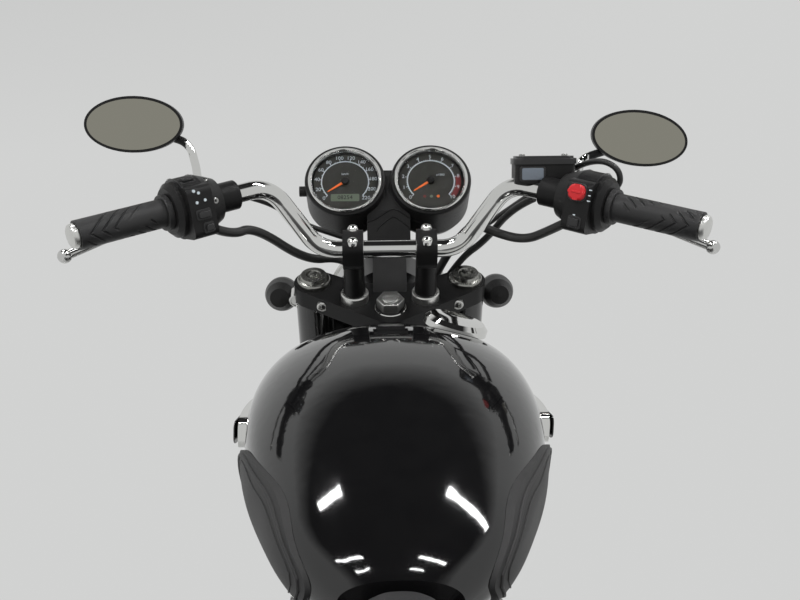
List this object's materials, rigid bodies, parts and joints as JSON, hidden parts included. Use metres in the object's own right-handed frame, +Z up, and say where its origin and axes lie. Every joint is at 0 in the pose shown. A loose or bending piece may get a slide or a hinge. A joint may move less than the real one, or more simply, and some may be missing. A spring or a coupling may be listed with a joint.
{
  "type": "retro parallel twin motorcycle",
  "caption": "Roadster motorcycle on its centre stand, with wire wheels, twin clocks, raised bars, finned engine and a teardrop tank with knee pads.",
  "frame": {"origin": "on the floor under the middle of the bike's length, on its centre plane", "axes": "+Y forward, +X to the rider's right, +Z up"},
  "size_m": [0.7262, 2.231, 1.2305],
  "materials": {
    "gloss_black_paint": "deep gloss black lacquer",
    "satin_black_metal": "satin black powder coat",
    "chrome": "bright chrome plate",
    "polished_alloy": "polished aluminium",
    "cast_alloy": "bead blasted aluminium",
    "steel": "zinc plated steel",
    "tyre_rubber": "black tyre rubber",
    "grip_rubber": "soft black rubber",
    "seat_vinyl": "dark grey vinyl with stitched seams",
    "black_plastic": "grained black plastic",
    "clear_lens": "clear fluted glass",
    "mirror_glass": "silvered glass",
    "lamp_plastic": "red and amber lamp lenses on black bodies"
  },
  "bodies": {
    "root": {"frame": "satin_black_metal", "swingarm": "satin_black_metal", "rear_axle": "steel", "rear_dampers": "satin_black_metal", "rear_springs": "chrome", "crankcase": "cast_alloy", "cylinder_block": "cast_alloy", "cylinder_head": "cast_alloy", "cam_cover": "polished_alloy", "engine_covers": "polished_alloy", "intakes": "satin_black_metal", "exhausts": "chrome", "tank": "gloss_black_paint", "knee_pads": "grip_rubber", "tank_badges": "chrome", "filler_cap": "chrome", "seat": "seat_vinyl", "side_panels": "gloss_black_paint", "rear_mudguard": "gloss_black_paint", "rear_lamps": "lamp_plastic", "chain": "steel", "chain_guard": "chrome", "footrests": "satin_black_metal", "foot_controls": "polished_alloy", "rear_caliper": "satin_black_metal"},
    "steering": {"top_yoke": "satin_black_metal", "lower_yoke": "satin_black_metal", "fork_tubes": "chrome", "fork_sliders": "polished_alloy", "headlamp_brackets": "gloss_black_paint", "front_axle": "steel", "handlebar": "chrome", "bar_clamps": "satin_black_metal", "grips": "grip_rubber", "switchgear": "black_plastic", "hand_levers": "polished_alloy", "brake_reservoir": "black_plastic", "mirrors": "black_plastic", "mirror_glasses": "mirror_glass", "instrument_cups": "black_plastic", "instrument_bezels": "chrome", "headlamp_shell": "gloss_black_paint", "headlamp_lens": "clear_lens", "front_indicators": "black_plastic", "front_mudguard": "gloss_black_paint", "front_caliper": "satin_black_metal", "control_cables": "grip_rubber"},
    "front_wheel": {"front_tyre": "tyre_rubber", "front_wheel_rim": "chrome", "front_disc": "steel"},
    "rear_wheel": {"rear_tyre": "tyre_rubber", "rear_wheel_rim": "chrome", "rear_disc": "steel", "rear_sprocket": "steel"},
    "centre_stand": {"centre_stand": "satin_black_metal"},
    "side_stand": {"side_stand": "satin_black_metal"}
  },
  "joints": [
    {"name": "steering_turn", "type": "hinge", "parent": "root", "child": "steering", "pos_m": [0, 0.42789, 0.87756], "axis": [0, -0.4695, 0.8829], "range_deg": [-33, 33]},
    {"name": "front_wheel_spin", "type": "hinge", "parent": "steering", "child": "front_wheel", "pos_m": [0, 0.7845, 0.331], "axis": [1, 0, 0], "continuous": true},
    {"name": "rear_wheel_spin", "type": "hinge", "parent": "root", "child": "rear_wheel", "pos_m": [0, -0.7155, 0.34], "axis": [1, 0, 0], "continuous": true},
    {"name": "centre_stand_swing", "type": "hinge", "parent": "root", "child": "centre_stand", "pos_m": [0, -0.1555, 0.228], "axis": [-1, 0, 0], "range_deg": [0, 78]},
    {"name": "side_stand_swing", "type": "hinge", "parent": "root", "child": "side_stand", "pos_m": [-0.136, -0.0155, 0.206], "axis": [0.8415, 0, -0.5402], "range_deg": [0, 98]}
  ]
}
